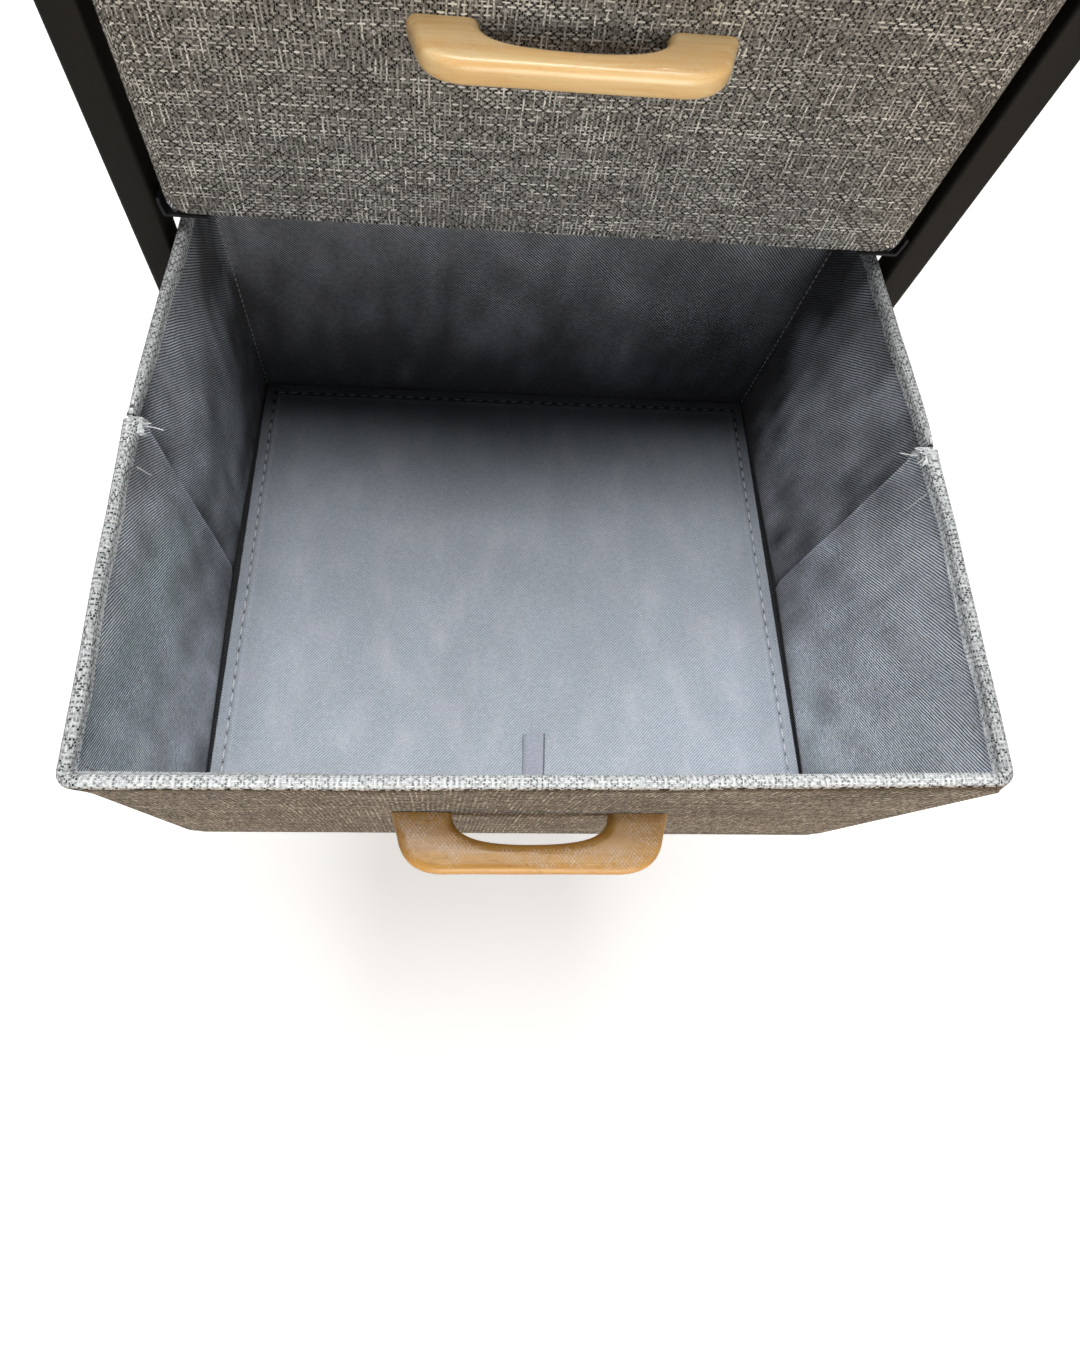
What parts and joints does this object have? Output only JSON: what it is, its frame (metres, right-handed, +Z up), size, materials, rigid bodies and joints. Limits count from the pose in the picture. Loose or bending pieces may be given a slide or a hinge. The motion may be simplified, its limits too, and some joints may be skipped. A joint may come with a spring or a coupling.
{
  "type": "fabric drawer dresser",
  "caption": "Narrow dresser: a steel tube frame with a board top holds fold-flat fabric bins with wooden bow handles, which slide on angle runners; a bin stands open.",
  "frame": {"origin": "on the floor, under the middle of the dresser with its second drawer open", "axes": "+Z up, +X to the right when facing the dresser, +Y towards its back; the drawers open towards -Y"},
  "size_m": [0.403, 0.603, 0.8468],
  "materials": {
    "steel": "fine matte powder coat, brown-black",
    "zinc_steel": "bright zinc plate",
    "top_wood": "satin wood-grain board",
    "handle_beech": "gloss varnished beech",
    "foot_plastic": "fine matte",
    "linen_fabric": "coarse plain weave of light, mid and dark grey yarns",
    "lining_fabric": "fine grey twill over board",
    "hardboard": "bare hardboard"
  },
  "bodies": {
    "frame": {"front_left_post": "steel", "rear_left_post": "steel", "front_right_post": "steel", "rear_right_post": "steel", "front_left_foot": "foot_plastic", "rear_left_foot": "foot_plastic", "front_right_foot": "foot_plastic", "rear_right_foot": "foot_plastic", "left_top_rail": "steel", "right_top_rail": "steel", "left_bottom_rail": "steel", "right_bottom_rail": "steel", "front_top_rail": "steel", "rear_top_rail": "steel", "front_bottom_rail": "steel", "rear_bottom_rail": "steel", "rear_middle_rail": "steel", "left_front_top_screw": "zinc_steel", "left_rear_top_screw": "zinc_steel", "right_front_top_screw": "zinc_steel", "right_rear_top_screw": "zinc_steel", "top_board": "top_wood", "runner_1_left": "steel", "runner_1_right": "steel", "runner_2_left": "steel", "runner_2_right": "steel", "runner_3_left": "steel", "runner_3_right": "steel", "runner_4_left": "steel", "runner_4_right": "steel"},
    "drawer_1": {"drawer_1_bin": "linen_fabric", "drawer_1_front_board": "hardboard", "drawer_1_base_board": "lining_fabric", "drawer_1_pull_tab": "lining_fabric", "drawer_1_handle": "handle_beech", "drawer_1_left_screw": "zinc_steel", "drawer_1_right_screw": "zinc_steel"},
    "drawer_2": {"drawer_2_bin": "linen_fabric", "drawer_2_front_board": "hardboard", "drawer_2_base_board": "lining_fabric", "drawer_2_pull_tab": "lining_fabric", "drawer_2_handle": "handle_beech", "drawer_2_left_screw": "zinc_steel", "drawer_2_right_screw": "zinc_steel"},
    "drawer_3": {"drawer_3_bin": "linen_fabric", "drawer_3_front_board": "hardboard", "drawer_3_base_board": "lining_fabric", "drawer_3_pull_tab": "lining_fabric", "drawer_3_handle": "handle_beech", "drawer_3_left_screw": "zinc_steel", "drawer_3_right_screw": "zinc_steel"},
    "drawer_4": {"drawer_4_bin": "linen_fabric", "drawer_4_front_board": "hardboard", "drawer_4_base_board": "lining_fabric", "drawer_4_pull_tab": "lining_fabric", "drawer_4_handle": "handle_beech", "drawer_4_left_screw": "zinc_steel", "drawer_4_right_screw": "zinc_steel"}
  },
  "joints": [
    {"name": "drawer_1_slide", "type": "slide", "parent": "frame", "child": "drawer_1", "axis": [0, -1, 0], "range_m": [0, 0.26]},
    {"name": "drawer_2_slide", "type": "slide", "parent": "frame", "child": "drawer_2", "axis": [0, -1, 0], "range_m": [-0.254, 0.006]},
    {"name": "drawer_3_slide", "type": "slide", "parent": "frame", "child": "drawer_3", "axis": [0, -1, 0], "range_m": [0, 0.26]},
    {"name": "drawer_4_slide", "type": "slide", "parent": "frame", "child": "drawer_4", "axis": [0, -1, 0], "range_m": [0, 0.26]}
  ]
}
